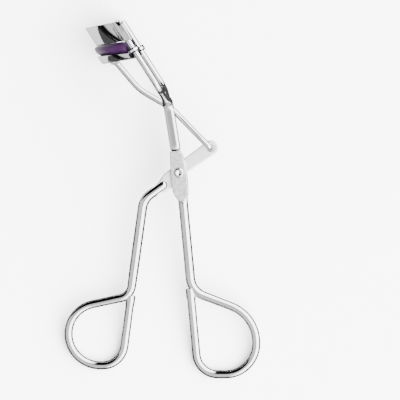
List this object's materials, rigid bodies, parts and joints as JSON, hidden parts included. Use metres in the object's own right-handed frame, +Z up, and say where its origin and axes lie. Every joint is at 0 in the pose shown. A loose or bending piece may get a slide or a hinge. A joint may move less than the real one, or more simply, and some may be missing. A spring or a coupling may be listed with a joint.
{
  "type": "eyelash curler",
  "caption": "Scissor-handled chrome eyelash curler: a curved upper jaw on two guide arms, a sliding lower jaw with a purple silicone pad, and a push rod from the lever.",
  "frame": {"origin": "centre of the bounding box in plan, on the surface the tool lies on", "axes": "+Z up from the surface the tool lies on, +Y from the finger loops to the jaws, +X towards the side of the lever's eye"},
  "size_m": [0.0578, 0.1066, 0.0361],
  "materials": {
    "chrome": "polished plating",
    "satin_plate": "satin plating",
    "purple_silicone": "smooth, slightly translucent silicone"
  },
  "bodies": {
    "frame": {"frame_handle": "chrome", "cheek_front": "satin_plate", "cheek_rear": "satin_plate", "arm_front": "chrome", "arm_rear": "chrome", "upper_jaw": "chrome", "pivot_rivet": "chrome", "rivet_burr": "chrome"},
    "lever": {"lever_handle": "chrome", "lever_plate": "satin_plate"},
    "sliding_jaw": {"lower_jaw": "chrome", "curl_pad": "purple_silicone", "rod_saddle": "chrome", "push_rod": "chrome", "eye_washer": "chrome", "eyelet_front": "chrome", "eyelet_rear": "chrome"}
  },
  "joints": [
    {"name": "lever_open", "type": "hinge", "parent": "frame", "child": "lever", "pos_m": [0.00507, 0.00646, 0.01158], "axis": [0.0122, 0.1761, -0.9843], "range_deg": [0, 30]},
    {"name": "jaw_open", "type": "hinge", "parent": "lever", "child": "sliding_jaw", "pos_m": [0.01427, 0.01359, 0.01297], "axis": [-0.0122, -0.1761, 0.9843], "range_deg": [0, 28.7]}
  ],
  "couplings": [
    {"joint": "jaw_open", "follows": "lever_open", "ratio": 0.952}
  ]
}
